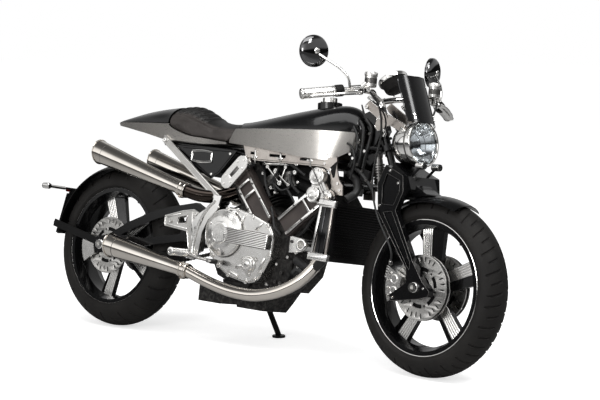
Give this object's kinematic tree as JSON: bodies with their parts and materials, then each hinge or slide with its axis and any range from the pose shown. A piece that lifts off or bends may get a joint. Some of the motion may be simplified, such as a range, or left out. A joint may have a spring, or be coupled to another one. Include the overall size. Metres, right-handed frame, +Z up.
{
  "type": "cafe racer motorcycle",
  "caption": "Cafe racer motorcycle with an open V-twin engine, girder-style cast fork, low bars, humped seat and upswept silencers, leaning on its side stand",
  "frame": {"origin": "on the ground, below the centre of the machine's overall box as it leans on its stand", "axes": "+X to the front of the machine, +Y to its left, +Z up; the wheels' line lies along X"},
  "size_m": [2.2445, 0.8132, 1.1881],
  "materials": {
    "satin_black_casting": "satin",
    "satin_black_fork": "satin",
    "gloss_black_paint": "gloss",
    "brushed_panel": "brushed",
    "polished_alloy": "machined",
    "grey_tower": "matte",
    "polished_steel": "polished",
    "chrome_trim": "polished",
    "clear_lens": "clear",
    "black_leather": "grained",
    "black_radiator": "matte",
    "chain_steel": "oiled",
    "disc_steel": "ground",
    "black_rim": "satin",
    "tyre_rubber": "matte",
    "hose_rubber": "matte",
    "stand_black": "satin"
  },
  "bodies": {
    "chassis": {"crankcase": "satin_black_casting", "engine_covers": "polished_alloy", "cylinders": "satin_black_casting", "gear_towers": "grey_tower", "intake": "satin_black_casting", "sump": "satin_black_casting", "header_pipes": "polished_steel", "silencers": "polished_steel", "pivot_castings": "polished_alloy", "swingarm": "satin_black_casting", "pivot_shaft": "satin_black_casting", "rear_axle": "polished_steel", "rear_hugger": "satin_black_fork", "tail_bracket": "satin_black_fork", "rear_caliper": "polished_alloy", "chain": "chain_steel", "tank_panels": "brushed_panel", "tank_top": "gloss_black_paint", "fuel_cap": "polished_alloy", "seat": "black_leather", "tail_top": "gloss_black_paint", "tail_cowl": "brushed_panel", "radiator": "black_radiator", "frame": "satin_black_casting", "battery_box": "satin_black_fork", "shocks": "polished_steel", "side_panels": "gloss_black_paint", "engine_brackets": "polished_alloy", "wishbones": "satin_black_casting", "rear_struts": "polished_alloy", "foot_controls": "polished_alloy"},
    "rear_wheel": {"rear_tyre": "tyre_rubber", "rear_rim": "black_rim", "rear_disc": "disc_steel", "rear_sprocket": "chain_steel"},
    "steering": {"fork": "satin_black_fork", "front_axle": "polished_steel", "front_calipers": "polished_alloy", "front_fender": "satin_black_fork", "instrument": "chrome_trim", "handlebar": "chrome_trim", "controls": "chrome_trim", "mirrors": "chrome_trim", "headlamp_shell": "chrome_trim", "headlamp_lens": "clear_lens", "headlamp_brackets": "polished_alloy", "fly_screen": "gloss_black_paint", "brake_hoses": "hose_rubber"},
    "front_wheel": {"front_tyre": "tyre_rubber", "front_rim": "black_rim", "front_discs": "disc_steel"},
    "side_stand": {"side_stand": "stand_black"}
  },
  "joints": [
    {"name": "steering_turn", "type": "hinge", "parent": "chassis", "child": "steering", "pos_m": [0.48979, -0.0021, 0.91763], "axis": [-0.4072, 0.1586, 0.8995], "range_deg": [-24, 36]},
    {"name": "front_wheel_spin", "type": "hinge", "parent": "steering", "child": "front_wheel", "pos_m": [0.81093, -0.11366, 0.31033], "axis": [0.0955, 0.9868, -0.1308], "continuous": true},
    {"name": "rear_wheel_spin", "type": "hinge", "parent": "chassis", "child": "rear_wheel", "pos_m": [-0.72887, -0.10732, 0.32088], "axis": [0, 0.9848, -0.1736], "continuous": true},
    {"name": "side_stand_fold", "type": "hinge", "parent": "chassis", "child": "side_stand", "pos_m": [-0.08882, -0.01434, 0.2493], "axis": [-0.0002, 0.9622, 0.2723], "range_deg": [0, 98]}
  ]
}
